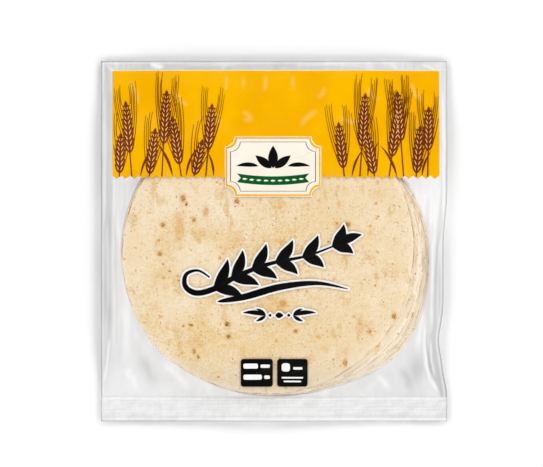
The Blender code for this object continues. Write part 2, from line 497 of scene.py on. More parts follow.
class ShaderGraph:
    """Adds nodes to a new material, and hands on their outputs."""

    def __init__(self, name: str) -> None:
        """Starts a material of that name with one glossy shader.

        Args:
            name: the material's name.
        """
        self.material = bpy.data.materials.new(name)
        self.material.use_nodes = True
        self.tree = self.material.node_tree
        self.shader = self.tree.nodes["Principled BSDF"]
        self.place = self.tree.nodes.new("ShaderNodeTexCoord").outputs["Object"]

    def add(self, kind: str, **sources: Source) -> bpy.types.Node:
        """Adds a node, with its sockets fed by their names, which have _ for a space.

        Args:
            kind: its type, without the words that all the types start with.
            sources: what feeds its sockets.

        Returns:
            The node.
        """
        node = self.tree.nodes.new(f"ShaderNode{kind}")
        self.feed(node, sources)
        return node

    def feed(self, node: bpy.types.Node, sources: dict[str | int, Source]) -> None:
        """Links sources to a node's sockets, or sets the sockets where they are values."""
        for name, source in sources.items():
            socket = node.inputs[name.replace("_", " ") if isinstance(name, str) else name]
            if isinstance(source, bpy.types.NodeSocket):
                self.tree.links.new(source, socket)
            else:
                socket.default_value = source

    def math(self, operation: str, first: Source, second: Source, third: Source = 0.5) -> Socket:
        """A sum on two values, or on three where the operation takes a third.

        Args:
            operation: which sum.
            first, second, third: the values.

        Returns:
            The result.
        """
        node = self.add("Math")
        node.operation = operation
        self.feed(node, {0: first, 1: second, 2: third})
        return node.outputs[0]

    def times(self, first: Source, second: Source) -> Socket:
        """The product of two values."""
        return self.math("MULTIPLY", first, second)

    def step(self, value: Source, start: Source, end: Source,
             low: Source = 0.0, high: Source = 1.0) -> Socket:
        """A smooth step.

        Args:
            value: what it follows.
            start, end: where the step begins and ends.
            low, high: the results before and after it.

        Returns:
            The result.
        """
        node = self.add("MapRange", Value=value, From_Min=start, From_Max=end, To_Min=low, To_Max=high)
        node.interpolation_type = "SMOOTHSTEP"
        return node.outputs["Result"]

    def mix(self, share: Source, first: Source, second: Source) -> Socket:
        """The first colour, mixed with a share of the second.

        Args:
            share: how much of the second.
            first, second: the colours.

        Returns:
            The colour.
        """
        node = self.add("Mix")
        node.data_type = "RGBA"
        self.feed(node, {0: share, 6: first, 7: second})
        return node.outputs[2]

    def tint(self, colour: Source, share: Source, strength: Source, other: Colour) -> Socket:
        """A colour with another laid over it, by a share times a strength."""
        return self.mix(self.times(share, strength), colour, other)

    def moved(self, offset: tuple[float, float, float],
              stretch: tuple[float, float, float] = (1.0, 1.0, 1.0)) -> Socket:
        """The place on the object, stretched and then moved.

        Args:
            offset: how far it is moved.
            stretch: how many times larger it is along each axis.

        Returns:
            The place.
        """
        location = [MM * value for value in offset]
        node = self.add("Mapping", Vector=self.place, Location=location, Scale=stretch)
        return node.outputs["Vector"]

    def noise(self, grain: float, detail: float, place: Socket | None = None) -> Socket:
        """Soft noise.

        Args:
            grain: the size of its patches.
            detail: how many finer layers it has.
            place: where it is read, or the object's own place.

        Returns:
            A value about 0.5.
        """
        node = self.add("TexNoise", Vector=place or self.place, Scale=1 / (grain * MM),
                        Detail=detail, Roughness=0.55)
        return node.outputs[0]

    def warped(self, place: Socket, grain: float, reach: float) -> Socket:
        """A place shifted unevenly, so that what is read there has an uneven outline.

        Args:
            place: the place to shift.
            grain: the size of the shifting noise's patches.
            reach: how far it may shift.

        Returns:
            The shifted place.
        """
        node = self.add("TexNoise", Vector=place, Scale=1 / (grain * MM), Detail=2.0)
        push = self.add("VectorMath")
        push.operation = "MULTIPLY_ADD"
        self.feed(push, {0: node.outputs[1], 1: (2 * reach * MM,) * 3, 2: place})
        return push.outputs[0]

    def spots(self, place: Socket, pitch: float, share: float,
              small: float, large: float) -> Socket:
        """Scattered spots of uneven size with fairly crisp edges.

        Args:
            place: where the spots are read.
            pitch: the mean distance between places that may have a spot.
            share: the share of those places that have one.
            small, large: the least and greatest radius.

        Returns:
            1 inside a spot, falling to 0 at its edge and outside.
        """
        node = self.add("TexVoronoi")
        node.voronoi_dimensions = "2D"
        self.feed(node, {"Vector": place, "Scale": 1 / (pitch * MM)})
        split = self.add("SeparateColor", Color=node.outputs["Color"])
        there = self.step(split.outputs[0], 1 - share - 0.002, 1 - share + 0.002)
        size = self.math("POWER", split.outputs[1], 2.0)
        radius = self.math("MULTIPLY_ADD", size, (large - small) / pitch, small / pitch)
        spot = self.step(node.outputs["Distance"], self.times(radius, 0.5), radius, 1.0, 0.0)
        return self.times(spot, there)

    def attribute(self, name: str) -> Socket:
        """A value stored at the mesh's points.

        Args:
            name: the value's name.

        Returns:
            The value.
        """
        node = self.add("Attribute")
        node.attribute_name = name
        return node.outputs["Fac"]

    def bump(self, height: Socket, depth: float, **under: Socket) -> Socket:
        """A surface normal tilted by a height, and added to the Normal under it."""
        return self.add("Bump", Strength=1.0, Distance=depth * MM, Height=height, **under).outputs[0]

    def finish(self, **sources: Source) -> Material:
        """Feeds the shader's sockets, and hands on the material."""
        self.feed(self.shader, sources)
        return self.material


@dataclass(frozen=True)
class FilmFinish:
    """Clear glossy film, less clear at its folds and seal, greyed by painted shade and the seal's grey.

    Haze scatters light and hardly stops it, so a hazy place throws less shadow than it hides.
    The scatter is the power that takes it from the one to the other.
    """

    name: str = "clear_glossy_film"
    clear: Colour = srgb(252, 252, 252)
    # The grey that painted shade mixes the film towards.
    shade_grey: Colour = srgb(146, 146, 147)
    roughness: float = 0.14
    ior: float = 1.5
    scatter: float = 5.5

    def material(self) -> Material:
        """Builds the material, which reads the mesh's haze, shade and sealed values.

        Returns:
            The material.
        """
        graph = ShaderGraph(self.name)
        sealed = graph.attribute("sealed")
        cloud = graph.noise(16, 2.0, graph.moved((3000, 1000, 0), (1.0, 0.25, 1.0)))
        ticks = graph.noise(1.1, 1.0, graph.moved((0, 0, 0), (1.0, 0.2, 1.0)))
        # Painted shade: the shade value mixes the film towards a grey; painted highlights are where it is
        # lowered.
        colour = graph.mix(graph.attribute("shade"), self.clear, self.shade_grey)
        colour = graph.tint(colour, graph.step(ticks, 0.50, 0.66, 0.0, 0.10), sealed, self.shade_grey)
        clouded = graph.times(graph.attribute("haze"), graph.step(cloud, 0.35, 0.65, 0.93, 1.07))
        rays = graph.add("LightPath").outputs
        lighting = graph.math("MAXIMUM", rays["Is Shadow Ray"], rays["Is Diffuse Ray"])
        passed_on = graph.math("POWER", clouded, self.scatter)
        less = graph.times(lighting, graph.math("SUBTRACT", clouded, passed_on))
        crinkled = graph.bump(graph.noise(6, 2.0), 0.03)
        return graph.finish(
            Base_Color=colour,
            Roughness=self.roughness,
            IOR=self.ior,
            Alpha=graph.math("SUBTRACT", clouded, less),
            Normal=graph.bump(graph.times(ticks, sealed), 0.16, Normal=crinkled),
        )


@dataclass(frozen=True)
class Mark:
    """A place on a bread: its middle, its reach, how many times longer than wide it is, and,
    where it is toasted, how brown its heart is.
    """

    x: float
    y: float
    radius: float
    tall: float = 1.0
    heart: float = 0.4

    def share(self, graph: ShaderGraph, place: Socket, grow: float = 1.0, shift: float = 0.0) -> Socket:
        """The mark with a soft edge.

        Args:
            graph: the material's nodes.
            place: where it is read.
            grow: how many times larger it is drawn.
            shift: how far up and right it is drawn, to make up for an uneven place.

        Returns:
            1 in the mark's middle, falling to 0 at its edge and outside.
        """
        wide, long = grow * self.radius * MM, grow * self.radius * self.tall * MM
        x, y = (self.x + shift) * MM, (self.y + shift) * MM
        mapped = graph.add("Mapping", Vector=place, Scale=(1 / wide, 1 / long, 0.0),
                           Location=(-x / wide, -y / long, 0.0))
        away = graph.add("VectorMath")
        away.operation = "LENGTH"
        graph.feed(away, {0: mapped.outputs["Vector"]})
        return graph.step(away.outputs["Value"], 0.45, 1.0, 1.0, 0.0)


TOP_MARKS = (
    Mark(-93, 44, 3.0, 1.6), Mark(-90, 38, 1.8, 1.4, 0.7), Mark(-114, 17, 3.0), Mark(-82, 22, 2.8),
    Mark(-117, -13, 3.4), Mark(-38, 41, 3.2, 1.2), Mark(-107, -31, 1.4, 1.0, 0.9),
    Mark(-48, -85, 3.0, 1.1, 0.8), Mark(-47, -98, 2.7, 1.0, 1.0), Mark(-85, -86, 2.4, 0.7, 0.8),
    Mark(-93, -87, 1.8, 0.8), Mark(-82, -113, 2.2, 1.6), Mark(-78, -119, 2.0, 1.5, 0.7),
    Mark(75, 17, 4.6, 0.8), Mark(68, 12, 3.0, 1.4), Mark(123, -77, 3.2, 1.2), Mark(98, -93, 2.2),
    Mark(73, -125, 2.6, 1.8), Mark(97, -118, 3.0, 1.4), Mark(9, -64, 4.8, 1.0, 0.2),
    Mark(22, -92, 2.6), Mark(-70, 30, 3.4, 1.8, 0.1), Mark(-97, 12, 5.0, 2.6, 0.0),
)
PALE_PLACES = (
    Mark(-152, 4, 40, 2.4), Mark(-60, 48, 62, 0.7), Mark(-76, -24, 40, 0.8),
    Mark(-118, 44, 30), Mark(-104, -62, 34, 0.9), Mark(-50, -76, 26, 0.8),
)
WARM_PLACES = (Mark(62, 36, 56, 0.6), Mark(-34, -112, 70, 0.4), Mark(60, -86, 60, 0.6))
WARM_MIDDLE = Mark(-78, -36, 175, 0.9)


@dataclass(frozen=True)
class DoughFinish:
    """Baked flatbread: cream dough with fine mottling, pin specks and toasted spots."""

    name: str
    seed: int
    marks: tuple[Mark, ...]
    # The rim is painted paler towards the edge tone, as painted light on the breads' edges; the edge tone
    # also pales the paler places.
    rim_light_share: float
    # How strongly the dark edge line shows: partly browning, partly painted shade.
    edge_line: float
    edge: Colour
    pale: Colour = srgb(242, 222, 191)
    warm: Colour = srgb(228, 194, 122)
    cloud: Colour = srgb(214, 170, 88)
    golden: Colour = srgb(222, 149, 26)
    brown: Colour = srgb(98, 47, 2)
    speck: Colour = srgb(146, 122, 62)
    # The tone of the dark edge line, partly browning and partly painted shade.
    crust_and_shade: Colour = srgb(176, 120, 56)

    def material(self) -> Material:
        """Builds the material, which reads the mesh's toast and rim values.

        Returns:
            The material.
        """
        graph = ShaderGraph(self.name)
        flat = graph.moved((310 * self.seed, 170 * self.seed, 50 * self.seed))
        grain = graph.step(graph.noise(1.9, 2.0, flat), 0.44, 0.66)
        rim = graph.attribute("rim")
        # Painted light: the rim is tinted towards the pale edge tone.
        colour = graph.tint(self.dough(graph, flat, grain), rim, self.rim_light_share, self.edge)
        colour = self.scattered(graph, flat, grain, colour)
        colour = self.placed(graph, colour)
        toast = graph.times(graph.attribute("toast"), graph.math("MULTIPLY_ADD", grain, 0.6))
        colour = graph.mix(toast, colour, self.golden)
        cores = graph.spots(graph.warped(flat, 2.2, 1.3), 19, 0.26, 0.6, 1.3)
        colour = graph.tint(colour, cores, 0.8, self.brown)
        # A broken dark line at each bread's very edge: partly browning and partly painted shade where the
        # stacked breads meet.
        patchy = graph.step(graph.noise(16, 3.0, flat), 0.42, 0.60, 0.15 * self.edge_line, self.edge_line)
        colour = graph.tint(colour, graph.step(rim, 0.92, 0.985), patchy, self.crust_and_shade)
        relief = graph.noise(2.4, 5.0, flat)
        return graph.finish(
            Base_Color=colour,
            Roughness=graph.step(relief, 0.3, 0.7, 0.62, 0.82),
            Specular_IOR_Level=0.25,
            Normal=graph.bump(graph.noise(9, 3.0, flat), 0.40, Normal=graph.bump(relief, 0.22)),
        )

    def dough(self, graph: ShaderGraph, flat: Socket, grain: Socket) -> Socket:
        """The colour of the dough, before anything is toasted.

        Args:
            graph: the material's nodes.
            flat: where its patterns are read.
            grain: its finest mottling.

        Returns:
            The colour.
        """
        broad = graph.step(graph.noise(38, 2.0, flat), 0.36, 0.66, 0.0, 0.45)
        mottle = graph.step(graph.noise(4.5, 4.0, graph.warped(flat, 12, 4)), 0.42, 0.66)
        colour = graph.mix(broad, self.pale, self.warm)
        colour = graph.tint(colour, mottle, 0.50, self.warm)
        colour = graph.tint(colour, grain, 0.42, self.cloud)
        warmer = WARM_MIDDLE.share(graph, graph.place)
        paler = graph.times(graph.math("SUBTRACT", 1.0, warmer), 0.32)
        for mark in PALE_PLACES:
            place = graph.times(mark.share(graph, graph.place), 0.46)
            paler = graph.math("MAXIMUM", paler, place)
        colour = graph.mix(paler, colour, self.edge)
        for mark in WARM_PLACES:
            colour = graph.tint(colour, mark.share(graph, graph.place), 0.22, self.warm)
        return colour

    def scattered(self, graph: ShaderGraph, flat: Socket, grain: Socket, colour: Socket) -> Socket:
        """Adds the toasted clouds, pin specks, flecks and spots that lie anywhere.

        Args:
            graph: the material's nodes.
            flat: where the patterns are read.
            grain: the dough's finest mottling.
            colour: the dough's colour.

        Returns:
            The colour with them.
        """
        tall = graph.moved((310 * self.seed, 170 * self.seed, 0), (1.5, 0.75, 1.0))
        clouds = graph.step(graph.noise(22, 3.0, graph.warped(tall, 26, 12)), 0.56, 0.72)
        clouds = graph.times(clouds, graph.math("MULTIPLY_ADD", grain, 0.6))
        colour = graph.tint(colour, clouds, 0.8, self.cloud)
        pins = graph.spots(graph.warped(flat, 2.2, 1.3), 3.3, 0.46, 0.40, 1.0)
        thick = graph.step(graph.noise(30, 1.0, flat), 0.35, 0.65, 0.22, 0.55)
        colour = graph.tint(colour, pins, thick, self.speck)
        flecks = graph.spots(graph.warped(flat, 3, 2.2), 11, 0.30, 0.8, 2.0)
        colour = graph.tint(colour, flecks, 0.6, self.golden)
        spots = graph.spots(graph.warped(flat, 2.4, 3.0), 20, 0.30, 1.4, 3.2)
        spots = graph.times(spots, graph.step(grain, 0.0, 1.0, 0.55, 1.0))
        colour = graph.mix(spots, colour, self.golden)
        return graph.mix(graph.step(spots, 0.7, 1.0, 0.0, 0.40), colour, self.brown)

    def placed(self, graph: ShaderGraph, colour: Socket) -> Socket:
        """Adds the toasted marks whose places are given, each with a halo and a heart.

        Args:
            graph: the material's nodes.
            colour: the bread's colour without them.

        Returns:
            The colour with them.
        """
        ragged = graph.warped(graph.place, 2.0, 2.2)
        blotchy = graph.step(graph.noise(1.4, 2.0), 0.40, 0.60, 0.55, 1.0)
        for mark in self.marks:
            halo = graph.times(mark.share(graph, ragged, 1.9, 2.2), blotchy)
            colour = graph.tint(colour, halo, 0.34, self.cloud)
            spot = mark.share(graph, ragged, 1.15, 2.2)
            share = graph.times(spot, min(1.0, 0.5 + 1.1 * mark.heart))
            colour = graph.tint(colour, share, blotchy, self.golden)
            heart = graph.step(spot, 0.75, 1.0, 0.0, min(1.0, 1.3 * mark.heart))
            colour = graph.tint(colour, heart, blotchy, self.brown)
        return colour


@dataclass(frozen=True)
class PrintFinish:
    """Ink printed on film: nearly even colour under a soft gloss, which a painted highlight pales along
    creases.
    """

    name: str
    colour: Colour
    second: Colour
    # How strongly, and towards which tone, a painted highlight pales the ink along creases.
    painted_crease_shading: float = 0.0
    highlight_tone: Colour = srgb(255, 236, 170)
    gloss: float = 0.02

    def material(self) -> Material:
        """Builds the material, which reads the mesh's values of painted highlight along creases.

        Returns:
            The material.
        """
        graph = ShaderGraph(self.name)
        broad = graph.step(graph.noise(55, 2.0), 0.35, 0.65)
        colour = graph.mix(broad, self.colour, self.second)
        # Painted highlight: the ink is mixed towards the highlight tone along creases.
        paler = graph.mix(self.painted_crease_shading, colour, self.highlight_tone)
        fine = graph.noise(7, 3.0)
        return graph.finish(
            Base_Color=graph.mix(graph.attribute("painted_crease_shading"), colour, paler),
            Roughness=graph.step(fine, 0.3, 0.7, 0.255, 0.345),
            Specular_IOR_Level=self.gloss,
            Normal=graph.bump(fine, 0.05),
        )


class Ink(Enum):
    """The inks of the print: the two tones that each varies between, and how far a painted highlight pales
    it along creases.
    """

    YELLOW = (srgb(243, 174, 0), srgb(249, 184, 0), 0.20)
    CREAM = (srgb(251, 245, 232), srgb(247, 240, 224))
    BROWN = (srgb(112, 48, 16), srgb(130, 60, 24))
    TAN = (srgb(240, 176, 104), srgb(246, 190, 116))
    GREEN = (srgb(16, 104, 44), srgb(10, 88, 36))
    BLACK = (srgb(14, 13, 13), srgb(20, 19, 19))
    WHITE = (srgb(250, 248, 246), srgb(246, 244, 241))
    # A pale tone for the painted highlight along the band's upper edge.
    FOLD_HIGHLIGHT = (srgb(252, 226, 160), srgb(251, 220, 146))

    def material(self) -> Material:
        """The ink's material, made once."""
        name = f"print_{self.name.lower()}"
        return bpy.data.materials.get(name) or PrintFinish(name, *self.value).material()


def grid_faces(rows: int, columns: int, first: int = 0, wrap: bool = False, flip: bool = False) -> Array:
    """The quads of a grid of points.

    Args:
        rows, columns: the grid's size.
        first: the number of its first point.
        wrap: joins the last column to the first.
        flip: turns the faces over.

    Returns:
        Four point numbers for each face.
    """
    row, column = np.meshgrid(np.arange(rows - 1), np.arange(columns - (not wrap)), indexing="ij")
    after = (column + 1) % columns
    corners = [row * columns + column, row * columns + after,
               (row + 1) * columns + after, (row + 1) * columns + column]
    if flip:
        corners.reverse()
    return np.stack(corners, -1).reshape(-1, 4) + first


def make_piece(name: str, points: Array, faces: list, material: Material,
               values: dict[str, Array]) -> Piece:
    """Makes a smooth mesh object that rides on the pack's body.

    Args:
        name: the piece's name.
        points: its points, one row each.
        faces: the point numbers of each face.
        material: its finish.
        values: named values at its points, for the finish to read.

    Returns:
        The object.
    """
    data = bpy.data.meshes.new(name)
    data.from_pydata((points * MM).tolist(), [], faces)
    data.validate()
    data.shade_smooth()
    data.materials.append(material)
    for label, amounts in values.items():
        layer = data.attributes.new(label, "FLOAT", "POINT")
        layer.data.foreach_set("value", np.asarray(amounts, np.float32).ravel())
    piece = bpy.data.objects.new(name, data)
    bpy.context.scene.collection.objects.link(piece)
    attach(piece, BODY)
    return piece


def report(piece: Piece) -> None:
    """Logs a piece's name and its number of faces."""
    log.info("%s: %d faces", piece.name, len(piece.data.polygons))


def graded(*runs: tuple[float, float, float]) -> Array:
    """Places along an axis, in runs that each have a start, an end and their own spacing."""
    parts = [np.linspace(start, end, max(2, round((end - start) / step) + 1))
             for start, end, step in runs]
    return np.concatenate([parts[0]] + [part[1:] for part in parts[1:]])


@dataclass(frozen=True)
class BagFilm:
    """The clear film bag: an upper and a lower sheet, joined along the outline."""

    form: BagForm
    fine: float = 1.15
    coarse: float = 2.7
    rib_step: float = 0.55
    fine_reach: float = 48.0
    fine_above_seal: float = 38.0
    fine_at_end: float = 20.0
    crease_run: float = 1.2

    def plan(self) -> Line:
        """The places of the grid's points, finer near the outline and in the seal.

        Returns:
            The x and y values, a row of points for each y.
        """
        form = self.form
        inner_left, inner_right = form.left + self.fine_reach, form.right - self.fine_reach
        columns = graded((form.left, inner_left, self.fine), (inner_left, inner_right, self.coarse),
                         (inner_right, form.right, self.fine))
        upper, end = form.seal_line + self.fine_above_seal, form.high - self.fine_at_end
        rows = graded((form.low, form.seal_line, self.rib_step), (form.seal_line, upper, self.fine),
                      (upper, end, self.coarse), (end, form.high, self.fine))
        x, y = np.meshgrid(columns, rows)
        pulled = (form.right - form.right_edge(y)) * ease((x - inner_right) / self.fine_reach)
        return x - pulled, y

    def looks(self, x: Array, y: Array) -> tuple[Array, Array, Array]:
        """How cloudy, how grey with painted shade, and how crimped the film is at each place.

        Args:
            x, y: places in the plan.

        Returns:
            The three values.
        """
        form = self.form
        angle = np.arctan2(y - form.stack_y, x - form.stack_x)
        stepped = bulged(angle, STEP_OUTS)
        beyond = form.rim_distance(x, y) - stepped - bulged(angle, EDGE_SHIFTS)
        inset = 0.9 + 2.1 * ease(stepped / 10)
        loose = ease((beyond + inset) / (inset + 1.4))
        # Painted shade over the lower part of the stack, greying and clouding the film there.
        low_stack_shade = (1 - loose) * ease((-100 - y) / 50)
        left_wall = ease((form.left_crease(y) - x) / self.crease_run)
        right_wall = ease((x - form.right_crease(y)) / self.crease_run)
        end_wall = ease((y - form.end_line) / self.crease_run)
        sealed = ease(form.seal_line - y)
        outline = np.minimum.reduce([x - form.left, form.right_edge(y) - x,
                                     form.high - y, y - form.low + 3])
        # Painted shade: a dark line along the outline, where the film turns under, which also clouds the
        # film there.
        outline_shade = 1 - ease(outline / 1.5)
        # Painted shade: a dark line along the seal's bottom edge.
        bottom_edge_shade = ease((form.low + 1.1 - y) / 0.8)
        # A painted highlight: a pale glint just inside the outline, away from the seal and the upper right.
        glint = bell(outline, 2.6, 0.9) * (1 - sealed)
        glint = glint * (1 - 0.8 * ease((x - 100) / 50) * ease((y + 10) / 30))
        # Painted highlight on the ridges and painted shade in the valleys.
        ridge, valley = form.painted_crease_shading(x, y)
        haze = 0.03 + 0.66 * loose + 0.24 * sealed + 0.12 * ridge * loose
        haze = haze + 0.28 * (left_wall + end_wall) + 0.17 * right_wall
        haze = haze + 0.20 * (outline_shade + glint + low_stack_shade + bottom_edge_shade)
        # Painted shade: the walls greyer than the front, the left wall less so towards the bottom.
        lit = 1 - 0.35 * ease((-70 - y) / 25)
        shade = np.maximum(0.41 * left_wall * lit + 0.33 * right_wall, 0.37 * end_wall) + outline_shade
        # Painted shade in the valleys and in the hollows at the lower right.
        shade = shade + 0.24 * valley + self.hollow_shade(x, y)
        # Painted shadow on the film beside the stack's left edge.
        shade = shade + 0.08 * bell(beyond, 3, 3.5) * ease((-100 - x) / 30)
        # Painted light and shade along the fine streaks beside the side walls.
        shade = shade + 0.06 * np.clip(form.streaks(x, y), -0.6, 1.2) * loose
        # Painted shade over the loose film and over the lower part of the stack, lightened where highlights
        # on ridges and glints are painted.
        shade = (shade + self.panel_shade(x, y) * loose) * (1 - 0.85 * ridge) * (1 - 0.6 * glint)
        shade = shade + 0.7 * low_stack_shade
        # In the seal: its own grey tones, with painted shade along its bottom edge and along the outline.
        in_seal = self.seal_shade(x, form.seal_line - y, y) + 0.85 * bottom_edge_shade + 0.75 * outline_shade
        shade = shade + sealed * (in_seal - shade)
        crimped = sealed * ease(y - form.low - 5)
        return np.clip(haze, 0.02, 0.97), np.clip(shade, 0, 1), crimped

    def hollow_shade(self, x: Array, y: Array) -> Array:
        """The painted shade in the hollows at the lower right, where the film sags beside the stack.

        Args:
            x, y: places in the plan.

        Returns:
            The grey.
        """
        hollow = bell(x, 145, 12) * ease((-90 - y) / 45)
        hollow = np.maximum(hollow, 0.5 * bell(x, 128, 24) * bell(y, -154, 8))
        return 0.12 * hollow + 0.10 * bell(x, 112, 25) * bell(y, -140, 14)

    def panel_shade(self, x: Array, y: Array) -> Array:
        """The painted shade of the loose film: more at the lower right, less at the upper right and left.

        Args:
            x, y: places in the plan.

        Returns:
            The grey.
        """
        panel_shading = 0.12 + 0.09 * ease((50 - y) / 150) * ease(x / 100)
        panel_shading = panel_shading - 0.16 * ease((y + 10) / 50) * ease(x / 100)
        panel_shading = panel_shading - 0.12 * bell(x, -154, 18) * ease((y + 110) / 60)
        return panel_shading + 0.05 * ease((-50 - y) / 60) * ease((20 - x) / 60)

    def seal_shade(self, x: Array, into: Array, y: Array) -> Array:
        """The grey of the heat seal, with a dark line at each side and a paler tail.

        Args:
            x, y: places in the plan.
            into: how far below the line each of them lies where the seal begins.

        Returns:
            The grey.
        """
        patches = np.clip(waves(x, 2.5 * y, (11, 19, 31), 51), -1, 1)
        grey = 0.12 + 0.05 * ease(x / 150) + 0.03 * np.sin(1.9 * into) + 0.05 * patches
        grey = grey + 0.14 * bell(into, 0.3, 0.7) - 0.10 * bell(into, 2, 1.2)
        grey = grey + 0.12 * bell(into, 20.6, 1.5)
        return grey - 0.16 * ease(into - 22.4) * ease((x + 120) / 240)

    def build(self) -> Piece:
        """Makes the bag and hides the solid that it stands for.

        Returns:
            The bag.
        """
        x, y = self.plan()
        rows, columns = x.shape
        band = HeaderBand(self.form)
        top = self.form.top(x, y) - band.recess * band.covers(x, y)
        bottom = np.minimum(self.form.bottom(x, y), top - 0.1)
        points = np.vstack([np.stack([x, y, z], -1).reshape(-1, 3) for z in (top, bottom)])
        count = rows * columns
        faces = np.vstack([grid_faces(rows, columns), grid_faces(rows, columns, count, flip=True)])
        number = np.arange(count).reshape(rows, columns)
        border = np.concatenate([number[0, :-1], number[:-1, -1], number[-1, :0:-1],
                                 number[:0:-1, 0]])
        after = np.roll(border, -1)
        sides = np.stack([border, border + count, after + count, after], -1)
        haze, shade, sealed = self.looks(x, y)
        under = np.clip(haze - 0.04, 0.03, 1.0)
        piece = make_piece("film_bag", points, np.vstack([faces, sides]).tolist(), FilmFinish().material(), {
            "haze": np.concatenate([haze.ravel(), under.ravel()]),
            "shade": np.concatenate([shade.ravel()] * 2),
            "sealed": np.concatenate([sealed.ravel()] * 2),
        })
        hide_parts(PACK_NODE)
        return piece


class PrintSheet:
    """Thin printed shapes that follow the film's upper surface, gathered into one mesh.

    Each shape lies a hair over the one before.
    """

    hair = 0.0005
    ink_thickness = 0.06

    def __init__(self, form: BagForm, lift: float) -> None:
        """Starts a sheet at a height over the film.

        Args:
            form: the bag's form.
            lift: how far over the film it lies.
        """
        self.form = form
        self.lift = lift
        self.points: list[Array] = []
        self.faces: list[Array] = []
        self.painted_crease_shading: list[Array] = []
        self.count = 0

    def add_grid(self, x: Array, y: Array) -> None:
        """Adds a grid of points in the plan as one shape.

        Args:
            x, y: the points' places.
        """
        height = self.form.top(x, y) + self.lift + self.hair * len(self.points)
        self.points.append(np.stack([x, y, height], -1).reshape(-1, 3))
        # How strongly a painted highlight pales the ink here; only inks that take one use it.
        self.painted_crease_shading.append(band_crease_highlight(x, y).ravel())
        self.faces.append(grid_faces(*x.shape, self.count))
        self.count += x.size

    def add_ribbon(self, line: Array, half_width: Array, across: int = 4) -> None:
        """Adds a band along a line.

        Args:
            line: the points of its middle, one row each.
            half_width: half its width at each of them.
            across: how many faces it is wide.
        """
        run = np.gradient(line, axis=0)
        run /= np.maximum(np.linalg.norm(run, axis=1, keepdims=True), 1e-6)
        shares = np.linspace(1, -1, across + 1)[:, None]
        x = line[:, 0] + run[:, 1] * half_width * shares
        y = line[:, 1] - run[:, 0] * half_width * shares
        self.add_grid(x, y)

    def add_outline(self, outline: Array, centre: Point, rings: int, inner: float = 0.02) -> None:
        """Adds a shape filled from its outline to near its centre, or a ring.

        Args:
            outline: its points, one row each, anticlockwise.
            centre: the point that it closes in on.
            rings: how many faces lie from the centre to the outline.
            inner: the share of the outline's size where the filling starts.
        """
        closed = np.vstack([outline, outline[:1]])
        shares = np.linspace(inner, 1, rings + 1)[:, None]
        x = centre[0] + (closed[:, 0] - centre[0]) * shares
        y = centre[1] + (closed[:, 1] - centre[1]) * shares
        self.add_grid(x[::-1], y[::-1])

    def build(self, name: str, ink: Ink) -> Piece:
        """Makes the sheet's one piece, as thick as a layer of ink.

        Args:
            name: the piece's name.
            ink: its finish.

        Returns:
            The piece.
        """
        piece = make_piece(name, np.vstack(self.points), np.vstack(self.faces).tolist(),
                           ink.material(), {"painted_crease_shading": np.concatenate(self.painted_crease_shading)})
        solid = piece.modifiers.new("ink_layer", "SOLIDIFY")
        solid.thickness = self.ink_thickness * MM
        solid.offset = -1.0
        return piece


def lens(start: Point | Array, angle: float, length: float, half_width: float,
         bend: float = 0.0, steps: int = 9) -> Line:
    """A pointed leaf or kernel as a line with widths.

    Args:
        start: its foot.
        angle: the direction it grows in, in degrees.
        length: how long it is.
        half_width: half its width at the widest place.
        bend: how far its middle bows to the left.
        steps: how many points the line has.

    Returns:
        The line and its half widths.
    """
    share = np.linspace(0, 1, steps)
    along, left = heading(angle)
    line = np.array(start) + np.outer(share * length, along)
    line += np.outer(4 * share * (1 - share) * bend, left)
    return line, half_width * np.sin(math.pi * share**0.85) ** 0.9


def widened(line: Array, half_width: Array, grow: float) -> Line:
    """A line with widths, grown on all sides for a border.

    Args:
        line: its points.
        half_width: its half widths.
        grow: how much wider the border reaches.

    Returns:
        The longer line and its greater half widths.
    """
    beyond = np.array([0.3, 0.6, 0.85, 0.97])[:, None] * grow
    first = line[0] - line[1]
    last = line[-1] - line[-2]
    before = line[0] + beyond * first / np.linalg.norm(first)
    after = line[-1] + beyond * last / np.linalg.norm(last)
    cap = np.sqrt(grow**2 - beyond[:, 0] ** 2)
    return np.vstack([before[::-1], line, after]), np.concatenate([cap[::-1], half_width + grow, cap])


